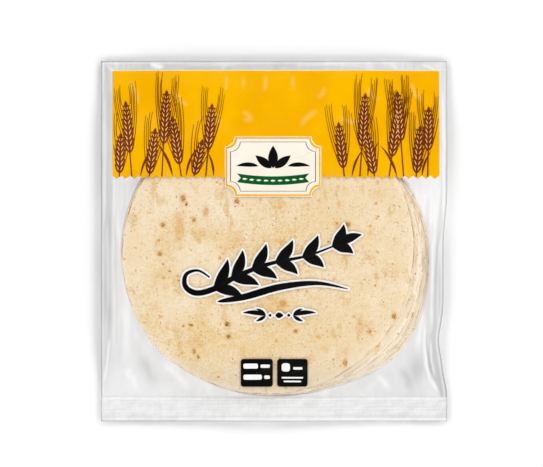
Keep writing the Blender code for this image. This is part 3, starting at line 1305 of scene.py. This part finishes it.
@dataclass(frozen=True)
class HeaderBand:
    """The yellow band across the printed end, with a zigzag lower edge."""

    form: BagForm
    lower: float = 65.8
    tooth: float = 9.0
    depth: float = 3.7
    faces_a_tooth: int = 6
    row_step: float = 1.5
    margin: float = 0.4
    inset: float = 2.0
    recess: float = 0.4
    lift: float = 0.12
    highlight_lift: float = 0.20
    highlight_half: float = 0.6

    @property
    def left(self) -> float:
        """The band's left-hand edge."""
        return self.form.left + self.form.left_wall + self.margin

    @property
    def right(self) -> float:
        """The band's right-hand edge."""
        return self.form.right - self.form.right_wall - self.margin

    @property
    def upper(self) -> float:
        """The band's upper edge."""
        return self.form.end_line + self.margin

    def covers(self, x: Array, y: Array) -> Array:
        """Where the band hides the film.

        Args:
            x, y: places in the plan.

        Returns:
            1 where it does, 0 elsewhere.
        """
        sides = ease(x - self.left - self.inset) * ease(self.right - self.inset - x)
        ends = ease(y - self.lower - self.depth - self.inset) * ease(self.upper - self.inset - y)
        return sides * ends

    def build(self) -> list[Piece]:
        """Makes the band, and the pale line along its upper edge that is a painted highlight where the film
        turns over.

        Returns:
            The two pieces.
        """
        teeth = round((self.right - self.left) / self.tooth)
        across = np.linspace(0, 1, teeth * self.faces_a_tooth + 1)
        x = self.left + (self.right - self.left) * across
        phase = across * teeth % 1.0
        zigzag = self.lower + self.depth * (np.abs(2 * phase - 1) - 0.5)
        rows = round((self.upper - self.lower) / self.row_step)
        share = np.linspace(0, 1, rows + 1)[:, None]
        sheet = PrintSheet(self.form, self.lift)
        sheet.add_grid(x + 0 * share, zigzag + (self.upper - zigzag) * share)
        # A painted highlight: a pale line along the band's upper edge, where the film turns over to the end
        # wall.
        line = PrintSheet(self.form, self.highlight_lift)
        along = np.linspace(self.left, self.right, 220)
        edge = np.stack([along, np.full(along.shape, self.upper - self.highlight_half)], -1)
        line.add_ribbon(edge, np.full(along.shape, self.highlight_half), 2)
        return [sheet.build("header_band", Ink.YELLOW), line.build("header_fold_highlight", Ink.FOLD_HIGHLIGHT)]


@dataclass(frozen=True)
class Ear:
    """One ear of grain: its foot, bare stem and head, and its lean in degrees."""

    foot: float
    stem: float
    lean: float
    head: float


@dataclass(frozen=True)
class Blade:
    """One grass blade: its foot, length, lean in degrees and half width."""

    foot: float
    length: float
    lean: float
    half_width: float = 1.1


EARS = (
    Ear(-159, 3, 2, 36), Ear(-146, 24, -5, 48), Ear(-128, 2, 7, 42), Ear(-115, 33, 3, 50),
    Ear(-95, 12, -9, 45), Ear(-82, 1, 13, 32), Ear(-70, 27, 5, 42),
    Ear(72, 8, -6, 42), Ear(88, 30, 4, 50), Ear(103, 2, -10, 40), Ear(118, 20, 8, 48),
    Ear(133, 36, -4, 46), Ear(146, 3, 5, 44), Ear(158, 26, 1, 40),
)
BLADES = (
    Blade(-137, 34, 24), Blade(-104, 40, -26, 1.4), Blade(-90, 30, 20), Blade(-62, 26, -14),
    Blade(80, 30, 22), Blade(96, 38, 18, 1.4), Blade(126, 36, -28, 1.4), Blade(152, 28, 20),
)


@dataclass(frozen=True)
class GrainEars:
    """Brown ears of grain and blades that stand along the band's lower edge at both sides."""

    form: BagForm
    lift: float = 0.26
    light_lift: float = 0.58
    foot: float = 66.4
    seed: int = 21
    stalk_half_width: float = 0.6
    row_pitch: float = 5.2
    kernel_length: float = 12.0
    kernel_half_width: float = 2.7
    kernel_lean: float = 29.0
    kernel_bow: float = 1.2
    slit_length: float = 6.0
    awn_half_width: float = 0.38
    awn_beyond: float = 15.0
    awn_spread: float = 8.5
    awn_foot: Point = (8.0, 4.4)

    def build(self) -> list[Piece]:
        """Makes the ears, the blades and the pale slits in the kernels.

        Returns:
            The two pieces.
        """
        dark = PrintSheet(self.form, self.lift)
        pale = PrintSheet(self.form, self.light_lift)
        draw = np.random.default_rng(self.seed)
        for blade in BLADES:
            bend = math.copysign(0.07, blade.lean) * blade.length
            leaf = lens((blade.foot, self.foot), 90 - blade.lean, blade.length, blade.half_width, bend, 12)
            dark.add_ribbon(*leaf, 2)
        for ear in EARS:
            self.draw_ear(dark, pale, ear, draw)
        return [dark.build("grain_ears", Ink.BROWN), pale.build("grain_lights", Ink.TAN)]

    def draw_ear(self, dark: PrintSheet, pale: PrintSheet, ear: Ear, draw: np.random.Generator) -> None:
        """Draws one ear.

        Args:
            dark, pale: the sheets for the ear and for the slits in its kernels.
            ear: its place and sizes.
            draw: makes the bristles uneven.
        """
        up = 90 - ear.lean
        along, left = heading(up)
        start = np.array([ear.foot, self.foot])
        stalk = start + np.linspace(0, 1, 14)[:, None] * (ear.stem + 0.9 * ear.head) * along
        dark.add_ribbon(stalk, np.full(14, self.stalk_half_width), 2)
        rows = round(ear.head / self.row_pitch)
        for row in range(rows):
            share = row / rows
            base = start + (ear.stem + share * ear.head) * along
            size = 0.62 + 0.38 * math.sin(math.pi * min(1.0, 0.30 + 0.72 * share))
            for side in (-1, 1):
                angle = up - side * self.kernel_lean
                kernel = lens(base, angle, self.kernel_length * size, self.kernel_half_width * size,
                              side * self.kernel_bow, 8)
                dark.add_ribbon(*kernel, 2)
                foot = base + size * (3.2 * along - side * 1.2 * left)
                slit = lens(foot, angle + side * 3, self.slit_length * size, 0.55 * size, side * 0.5, 6)
                pale.add_ribbon(*slit, 2)
                if row % 2 == 0:
                    reach = (1 - share) * ear.head + draw.uniform(0.5, 1.25) * self.awn_beyond
                    spread = self.awn_spread * (1.4 - share) + draw.uniform(-0.6, 0.6)
                    self.draw_awn(dark, base, up, side, reach, spread)
        crown = start + (ear.stem + ear.head - 2) * along
        dark.add_ribbon(*lens(crown, up, 8.5, 1.9, 0.0, 8), 2)

    def draw_awn(self, dark: PrintSheet, base: Array, up: float, side: int,
                 length: float, spread: float) -> None:
        """Draws one long bristle, from its kernel's tip to beyond the head's top.

        Args:
            dark: the ears' sheet.
            base: the place on the head's middle where its kernel starts.
            up: the head's direction, in degrees.
            side: 1 for the right of the head and -1 for the left.
            length: how long it is.
            spread: how far from the head's middle line it ends.
        """
        along, left = heading(up)
        rise, aside = self.awn_foot
        tip = base + rise * along - side * aside * left
        sway = side * (spread - aside)
        turn = math.degrees(math.atan2(sway, length))
        line, _ = lens(tip, up - turn, math.hypot(sway, length), 0.0, side * -0.035 * length, 12)
        band = HeaderBand(self.form)
        inside = (line[:, 0] > band.left + 1) & (line[:, 0] < band.right - 1)
        widths = np.linspace(1.0, 0.45, 12) * self.awn_half_width
        if inside.sum() > 2:
            dark.add_ribbon(line[inside], widths[inside], 1)


@dataclass(frozen=True)
class Cartouche:
    """A cream plaque with scooped corners, kernels and a green ribbon, on the band's edge."""

    form: BagForm
    centre: Point = (-1.0, 76.5)
    half_width: float = 47.0
    half_height: float = 28.5
    scoop: float = 10.0
    outline_step: float = 3.0
    border: float = 2.4
    gold_border: float = 1.7
    line_inset: float = 3.0
    ribbon_half: float = 37.0
    ribbon_tall: float = 4.4
    ribbon_drop: float = 14.5
    ribbon_sag: float = 3.0
    ribbon_notch: float = 4.0
    ribbon_steps: int = 27
    diamond_pitch: float = 0.098
    diamond_half: float = 2.6
    lift: float = 0.22

    def outline(self, grow: float) -> Array:
        """The plaque's outline, moved outwards.

        Args:
            grow: how far it is moved.

        Returns:
            Its points, anticlockwise.
        """
        wide, tall = self.half_width + grow, self.half_height + grow
        turn = np.radians(np.linspace(0, 90, 9))
        hollow = np.stack([wide - self.scoop * np.cos(turn), tall - self.scoop * np.sin(turn)], -1)
        quarters = ((1, 1), (-1, 1), (-1, -1), (1, -1))
        corners = np.vstack([hollow[::1 if number % 2 else -1] * quarter
                             for number, quarter in enumerate(quarters)])
        dense = []
        for point, after in zip(corners, np.roll(corners, -1, axis=0)):
            steps = max(1, round(np.linalg.norm(after - point) / self.outline_step))
            dense.append(point + (after - point) * (np.arange(steps) / steps)[:, None])
        return np.vstack(dense) + np.array(self.centre)

    def layer(self, over: float) -> PrintSheet:
        """An empty sheet at a height over the plaque's lowest layer."""
        return PrintSheet(self.form, self.lift + over)

    def ribbon_line(self, share: Array | float) -> tuple[Array | float, Array | float]:
        """The place of the ribbon's middle line at a share of the way along it."""
        x, y = self.centre
        return (x + (share - 0.5) * 2 * self.ribbon_half,
                y - self.ribbon_drop + self.ribbon_sag * (2 * share - 1) ** 2)

    def build(self) -> list[Piece]:
        """Makes the plaque, its borders, its kernels and its ribbon.

        Returns:
            The pieces.
        """
        pieces = []
        for name, ink, over, grow in (("plaque_rim", Ink.CREAM, 0.0, self.border),
                                      ("plaque_gold", Ink.YELLOW, 0.06, self.gold_border),
                                      ("plaque_field", Ink.CREAM, 0.12, 0.0)):
            sheet = self.layer(over)
            sheet.add_outline(self.outline(grow), self.centre, 12)
            pieces.append(sheet.build(name, ink))
        thin = self.layer(0.2)
        thin.add_outline(self.outline(-self.line_inset), self.centre, 1, 0.982)
        x, y = self.centre
        kernels = self.layer(0.2)
        for angle, length, half_width in ((90, 23, 5.0), (38, 21, 4.2), (142, 21, 4.2)):
            foot = (x + 2.0 * heading(angle)[0][0], y - 1.5)
            kernels.add_ribbon(*lens(foot, angle, length, half_width, 0.0, 11))
        for side, angle in ((-1, 180), (1, 0)):
            kernels.add_ribbon(*lens((x + side * 15, y + 0.5), angle, 23, 2.2, side * 1.6, 11))
        share = np.linspace(0, 1, self.ribbon_steps)
        run, rise = self.ribbon_line(share)
        across = np.linspace(-1, 1, 7)[:, None]
        notch = self.ribbon_notch * (1 - np.abs(across)) * (1 - 2 * share)
        ribbon = self.layer(0.2)
        ribbon.add_grid(run + notch, rise + across * self.ribbon_tall)
        diamonds = self.layer(0.28)
        for number in range(-4, 5):
            run, rise = self.ribbon_line(0.5 + number * self.diamond_pitch)
            diamond = lens((run - self.diamond_half, rise), 0, 2 * self.diamond_half, 1.0, 0.0, 7)
            diamonds.add_ribbon(*diamond, 2)
        return pieces + [
            thin.build("plaque_line", Ink.BROWN),
            kernels.build("plaque_kernels", Ink.BLACK),
            ribbon.build("plaque_ribbon", Ink.GREEN),
            diamonds.build("plaque_diamonds", Ink.CREAM),
        ]


@dataclass(frozen=True)
class LeafBranch:
    """A black leafy branch with a swash under it, and a small divider, both edged in white."""

    form: BagForm
    lift: float = 0.12
    black_lift: float = 0.34
    border: float = 1.9
    leaf_pairs: int = 6
    first_leaf: float = 0.56
    last_leaf: float = 0.97
    leaf_lean: float = 40.0
    divider_x: float = 5.5
    divider_y: float = -76.0

    def strokes(self) -> list[Line]:
        """The strokes of the branch and of the swash under it.

        Returns:
            A line and its half widths for each.
        """
        stem = smooth_chain([(-66, -37), (-78, -30), (-90, -34), (-91, -46), (-80, -53), (-62, -49),
                             (-36, -35), (-4, -23), (34, -15), (66, -3)], 7)
        share = np.linspace(0, 1, len(stem))
        found = [(stem, 0.8 + 2.2 * np.sin(math.pi * share) ** 1.5)]
        for number in range(self.leaf_pairs):
            at = self.first_leaf + (self.last_leaf - self.first_leaf) * number / (self.leaf_pairs - 1)
            index = min(int(at * (len(stem) - 1)), len(stem) - 2)
            run = stem[index + 1] - stem[index]
            angle = math.degrees(math.atan2(run[1], run[0]))
            for side in (-1, 1):
                length = 34 - 1.6 * number - 3 * (side < 0)
                found.append(lens(stem[index], angle + side * self.leaf_lean, length, 5.4, side * -3.0, 15))
        found.append(lens(stem[-1], 22, 26, 4.6, 1.6, 13))
        swash = smooth_chain([(-58, -62), (-30, -57), (6, -47), (44, -43), (76, -49)], 7)
        share = np.linspace(0, 1, len(swash))
        found.append((swash, 0.2 + 3.4 * np.sin(math.pi * share**0.7)))
        return found

    def divider(self) -> list[Line]:
        """The strokes of the small divider under the branch.

        Returns:
            A line and its half widths for each.
        """
        x, y = self.divider_x, self.divider_y
        found = [lens((x - 4.2, y), 0, 8.4, 3.0)]
        for side, angle in ((-1, 180), (1, 0)):
            found.append(lens((x + side * 8, y), angle, 3.4, 1.6, 0.0, 7))
            foot = (x + side * 14, y)
            found.append(lens(foot, angle + side * 6, 24, 2.3, side * 1.6, 11))
            found.append(lens(foot, angle + side * 34, 12, 1.7, side * 0.8))
            found.append(lens(foot, angle - side * 30, 12, 1.7, side * -0.8))
        return found

    def build(self) -> list[Piece]:
        """Makes the black strokes and their white borders.

        Returns:
            The two pieces.
        """
        white = PrintSheet(self.form, self.lift)
        black = PrintSheet(self.form, self.black_lift)
        for line, widths in self.strokes() + self.divider():
            white.add_ribbon(*widened(line, widths, self.border))
            black.add_ribbon(line, widths)
        return [white.build("branch_border", Ink.WHITE), black.build("branch", Ink.BLACK)]


@dataclass(frozen=True)
class LabelBox:
    """A small black box with rounded corners.

    It holds light bars, each with its place from the box's lower left corner, width and height.
    """

    form: BagForm
    name: str
    left: float
    right: float
    bars: tuple[tuple[float, float, float, float], ...]
    top: float = -120.8
    bottom: float = -149.4
    corner: float = 2.7
    bar_corner: float = 0.32
    lift: float = 0.14
    bar_lift: float = 0.24

    def add_rounded(self, sheet: PrintSheet, x: float, y: float, width: float, height: float,
                    radius: float, rings: int) -> None:
        """Adds a rectangle with rounded corners to a sheet.

        Args:
            sheet: the sheet.
            x, y: its lower left corner.
            width, height: its size.
            radius: the radius of its corners.
            rings: how many faces lie from its centre to its outline.
        """
        right, top = x + width - radius, y + height - radius
        x, y = x + radius, y + radius
        corners = []
        for place, start in (((right, top), 0), ((x, top), 90), ((x, y), 180), ((right, y), 270)):
            turn = np.radians(start + np.linspace(0, 90, 7))
            corners.append(np.array(place) + radius * np.stack([np.cos(turn), np.sin(turn)], -1))
        sheet.add_outline(np.vstack(corners), ((x + right) / 2, (y + top) / 2), rings)

    def build(self) -> list[Piece]:
        """Makes the box and its bars.

        Returns:
            The two pieces.
        """
        box = PrintSheet(self.form, self.lift)
        self.add_rounded(box, self.left, self.bottom, self.right - self.left,
                         self.top - self.bottom, self.corner, 10)
        light = PrintSheet(self.form, self.bar_lift)
        for across, up, width, height in self.bars:
            self.add_rounded(light, self.left + across, self.bottom + up, width, height,
                             self.bar_corner * height, 3)
        return [box.build(self.name, Ink.BLACK), light.build(f"{self.name}_bars", Ink.WHITE)]


@dataclass(frozen=True)
class Flatbread:
    """One round bread of the stack; number 0 lies on top."""

    form: BagForm
    number: int
    clearance: float = 0.75
    gap: float = 0.22
    edge_reach: float = 1.1
    rim_reach: float = 30.0
    segments: int = 300
    irregular: float = 0.75
    rim_run: float = 9.0
    wavy_reach: float = 16.0
    wave: float = 0.22
    ripple: float = 0.10
    least_height: float = 0.12
    blister_count: int = 58
    blister_reach: float = 138.0

    @property
    def on_top(self) -> bool:
        """Whether this bread lies on top."""
        return self.number == 0

    def outline(self, angle: Array) -> Array:
        """The bread's radius, larger to the right on the lower ones as the stack steps out.

        Args:
            angle: directions from the stack's centre.

        Returns:
            The radius in each.
        """
        draw = np.random.default_rng(60 + self.number)
        uneven = np.zeros(angle.shape)
        for waves_round in (2, 3, 5, 8, 13, 21, 34, 55):
            size = draw.uniform(0.4, 1.0) / waves_round**0.6
            uneven += size * np.sin(waves_round * angle + draw.uniform(0, 2 * math.pi))
        share = (self.number / (BREAD_COUNT - 1)) ** 0.75
        wander = draw.uniform(0.03, 0.07) * np.sin(2 * angle + draw.uniform(0, 2 * math.pi))
        share = np.where(share * (1 - share) > 0, np.clip(share + wander, 0, 1), share)
        outward = bulged(angle, EDGE_SHIFTS) + bulged(angle, STEP_OUTS) * share
        return self.form.bread_radius + outward + self.irregular * uneven

    def rings(self, fine: bool) -> list[float]:
        """How far in from the edge each ring of points lies, from the middle outwards.

        Args:
            fine: whether this face of the bread shows.

        Returns:
            The distances.
        """
        near = [26, 21, 17, 13.5, 10.5, 8, 6, 4.5, 3.2, 2.2, 1.5, 0.9, 0.45, 0.15]
        return list(np.arange(140, 27, -2.0 if fine else -16.0)) + near

    def plan(self, inward: Array) -> Line:
        """The places of the rings of points.

        Args:
            inward: how far in from the edge each ring lies.

        Returns:
            The x and y values, a row of points for each ring.
        """
        angle = np.linspace(-math.pi, math.pi, self.segments, endpoint=False)
        edge = self.outline(angle)
        full, reach = self.form.bread_radius, self.rim_reach
        ratio = np.clip((full - inward) / (full - reach), 0, 1)
        radius = np.where(inward < reach, edge - inward, (edge - reach) * ratio)
        return self.form.stack_x + radius * np.cos(angle), self.form.stack_y + radius * np.sin(angle)

    def blistered(self, x: Array, y: Array) -> Line:
        """The bubbles in the upper face.

        Args:
            x, y: places in the plan.

        Returns:
            Their rise, and how toasted they are.
        """
        draw = np.random.default_rng(300 + self.number)
        rise, toast = np.zeros(x.shape), np.zeros(x.shape)
        for _ in range(self.blister_count):
            away = self.blister_reach * math.sqrt(draw.uniform())
            along, _ = heading(math.degrees(draw.uniform(0, 2 * math.pi)))
            size = draw.uniform(2.5, 8.5)
            middle = away * along + (self.form.stack_x, self.form.stack_y)
            bubble = bell(np.hypot(x - middle[0], y - middle[1]), 0.0, size)
            rise += size * draw.uniform(0.03, 0.07) * bubble
            toast = np.maximum(toast, 0.5 * bubble**2)
        return rise, toast

    def surface(self, x: Array, y: Array, inward: Array, side: Array) -> Line:
        """The height of the bread's points, and how toasted they are.

        Args:
            x, y: their places in the plan.
            inward: how far in from the edge each ring of them lies.
            side: 1 for a ring of the upper face, -1 for one of the lower face, 0 at the edge.

        Returns:
            The heights and the toasted shares.
        """
        form = self.form
        stack = form.stack_height(x, y) - form.rim_drop * ease(1 - inward / self.rim_run) - self.clearance
        upper = stack * (BREAD_COUNT - self.number) / BREAD_COUNT
        lower = stack * (BREAD_COUNT - self.number - 1) / BREAD_COUNT + self.gap
        round_off = np.sqrt(1 - (1 - np.clip(inward / self.edge_reach, 0, 1)) ** 2)
        height = (upper + lower) / 2 + side * (upper - lower) / 2 * round_off
        loose = 1 - ease(inward / self.wavy_reach)
        height += self.wave * loose * waves(x, y, (34, 61), 15) * ease(height / 4)
        toast = np.zeros(x.shape)
        if self.on_top:
            rise, toast = self.blistered(x, y)
            height += (self.ripple * waves(x, y, (11, 19, 33), 23) + rise) * (side > 0)
            toast = toast * (side > 0)
        return np.maximum(height, self.least_height), toast

    def faces(self, rows: int) -> list[list[int]]:
        """The faces between the rings of points, and a fan in the middle of each side.

        Args:
            rows: how many rings there are.

        Returns:
            The point numbers of each face.
        """
        first = np.arange(self.segments)
        last = first + (rows - 1) * self.segments
        centre = np.full(self.segments, rows * self.segments)
        upper = np.stack([centre, first, np.roll(first, -1)], -1)
        lower = np.stack([centre + 1, np.roll(last, -1), last], -1)
        around = grid_faces(rows, self.segments, wrap=True, flip=True)
        return around.tolist() + upper.tolist() + lower.tolist()

    def finish(self) -> DoughFinish:
        """The bread's finish: the lower breads have a rim painted paler, as painted light, and a fainter
        line at their edge.

        Returns:
            The finish.
        """
        # The rim's painted light is paler on the lower breads, whose rims lie in the film's shade.
        edge = srgb(246, 229, 202) if self.number < 2 else srgb(254, 242, 220)
        name, seed = f"toasted_dough_{self.number}", 3 + 2 * self.number
        if self.on_top:
            return DoughFinish(name, seed, TOP_MARKS, 0.6, 0.9, edge)
        return DoughFinish(name, seed, (), 0.9, 0.6 if self.number < 6 else 0.2, edge)

    def build(self) -> Piece:
        """Makes the bread.

        Returns:
            The bread.
        """
        above = [(distance, 1.0) for distance in self.rings(self.on_top)]
        below = [(distance, -1.0) for distance in self.rings(self.number == BREAD_COUNT - 1)]
        profile = np.array(above + [(0.0, 0.0)] + below[::-1])
        inward, side = profile[:, :1], profile[:, 1:]
        x, y = self.plan(inward)
        height, toast = self.surface(x, y, inward, side)
        rim = np.broadcast_to(1 - ease(inward / 7), x.shape)
        middles = [(self.form.stack_x, self.form.stack_y, height[row].mean()) for row in (0, -1)]
        points = np.vstack([np.stack([x, y, height], -1).reshape(-1, 3), middles])
        values = {
            "toast": np.append(toast.ravel(), [toast[0].mean(), 0.0]),
            "rim": np.append(rim.ravel(), [0.0, 0.0]),
        }
        name = f"flatbread_{self.number + 1}"
        piece = make_piece(name, points, self.faces(len(profile)), self.finish().material(), values)
        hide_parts(PACK_NODE)
        return piece


@dataclass(frozen=True)
class Softbox:
    """A rectangular lamp that points at the pack, with its place and size in metres."""

    name: str
    place: tuple[float, float, float]
    size: Point
    radiance: float

    def build(self) -> None:
        """Hangs the lamp."""
        lamp = bpy.data.lights.new(self.name, "AREA")
        lamp.shape = "RECTANGLE"
        lamp.size, lamp.size_y = self.size
        lamp.energy = self.radiance * math.pi * self.size[0] * self.size[1]
        holder = bpy.data.objects.new(self.name, lamp)
        bpy.context.scene.collection.objects.link(holder)
        x, y, z = self.place
        holder.location = self.place
        holder.rotation_euler = (math.atan2(math.hypot(x, y), z), 0.0, math.atan2(y, x) + math.pi / 2)
        holder.visible_camera = False


SOFTBOXES = (
    Softbox("softbox_left", (-1.5, 0.0, 2.5), (2.4, 0.1), 4.5),
    Softbox("softbox_right", (1.5, 0.2, 2.5), (2.4, 0.1), 4.5),
    Softbox("softbox_far", (0.0, 1.7, 2.4), (1.8, 0.12), 4.0),
    Softbox("softbox_near", (0.2, -1.8, 2.3), (1.8, 0.12), 3.5),
    Softbox("key_far_right", (2.1, 2.1, 1.45), (1.8, 1.3), 5.0),
    Softbox("key_far_left", (-2.1, 2.1, 1.45), (1.8, 1.3), 3.4),
    Softbox("key_near_left", (-2.1, -2.1, 1.45), (1.8, 1.3), 3.6),
    Softbox("key_near_right", (2.1, -2.1, 1.45), (1.8, 1.3), 4.6),
)


@dataclass(frozen=True)
class Studio:
    """The white floor, the lamps, the surrounding light and the camera, with sizes in metres."""

    camera_height: float = 2.4
    view_x: float = -2.6 * MM
    view_y: float = 7.9 * MM
    view_width: float = 557.7 * MM
    focus_height: float = 12.0 * MM
    floor_half: float = 3.0
    floor_height: float = -0.3 * MM
    sky: float = 2.08
    sky_bands: tuple[Point, ...] = (
        (0.0, 0.3), (0.12, 0.3), (0.2, 1.0), (0.4, 1.0), (0.5, 0.12), (0.8, 0.03), (1.0, 0.03))

    def build(self) -> None:
        """Builds the whole studio."""
        self.build_floor()
        self.build_sky()
        for lamp in SOFTBOXES:
            lamp.build()
        self.build_camera()
        bpy.context.scene.view_settings.view_transform = "Standard"

    def build_floor(self) -> None:
        """Lays the white floor just under the pack."""
        half = self.floor_half
        data = bpy.data.meshes.new("floor")
        corners = [(-half, -half), (half, -half), (half, half), (-half, half)]
        data.from_pydata([(x, y, self.floor_height) for x, y in corners], [], [(0, 1, 2, 3)])
        graph = ShaderGraph("white_floor")
        data.materials.append(graph.finish(
            Base_Color=srgb(254, 254, 254), Roughness=0.9, Specular_IOR_Level=0.0))
        floor = bpy.data.objects.new("floor", data)
        bpy.context.scene.collection.objects.link(floor)

    def build_sky(self) -> None:
        """Sets the light that comes from all round, bright low down and dim overhead."""
        world = bpy.data.worlds.new("soft_surround")
        bpy.context.scene.world = world
        world.use_nodes = True
        tree = world.node_tree
        place = tree.nodes.new("ShaderNodeTexCoord")
        split = tree.nodes.new("ShaderNodeSeparateXYZ")
        tree.links.new(place.outputs["Generated"], split.inputs[0])
        bands = tree.nodes.new("ShaderNodeValToRGB")
        tree.links.new(split.outputs["Z"], bands.inputs["Fac"])
        stops = bands.color_ramp.elements
        for height, share in self.sky_bands:
            ends = {0.0: stops[0], 1.0: stops[-1]}
            stop = ends[height] if height in ends else stops.new(height)
            stop.color = (share, share, share, 1.0)
        tree.links.new(bands.outputs["Color"], tree.nodes["Background"].inputs["Color"])
        tree.nodes["Background"].inputs["Strength"].default_value = self.sky

    def build_camera(self) -> None:
        """Sets the camera straight above, framed as wide as the photograph."""
        camera = bpy.data.cameras.new("camera")
        distance = self.camera_height - self.focus_height
        camera.lens = camera.sensor_width * distance / self.view_width
        holder = bpy.data.objects.new("camera", camera)
        bpy.context.scene.collection.objects.link(holder)
        holder.location = (self.view_x, self.view_y, self.camera_height)
        bpy.context.scene.camera = holder


def main() -> None:
    """Builds the studio and every piece of the pack."""
    logging.basicConfig(level=logging.INFO, format="%(name)s: %(message)s")
    low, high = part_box(PACK_NODE)
    form = BagForm(left=low.x / MM, right=high.x / MM, low=low.y / MM, high=high.y / MM)
    Studio().build()
    report(BagFilm(form).build())
    for number in range(BREAD_COUNT):
        report(Flatbread(form, number).build())
    boxes = (
        LabelBox(form, "box_left", -34.1, -1.3, ((2.6, 18.6, 15.0, 5.2), (20.2, 19.4, 9.6, 3.4),
                                                 (2.6, 7.2, 19.0, 5.2), (24.0, 8.0, 5.8, 3.6))),
        LabelBox(form, "box_right", 3.2, 34.4, ((4.6, 15.6, 8.6, 8.6), (16.4, 17.6, 9.6, 2.6),
                                                (4.6, 8.4, 22.0, 1.7), (6.6, 4.6, 18.0, 1.7))),
    )
    for part in (HeaderBand(form), GrainEars(form), Cartouche(form), LeafBranch(form), *boxes):
        for piece in part.build():
            report(piece)


if __name__ == "__main__":
    main()
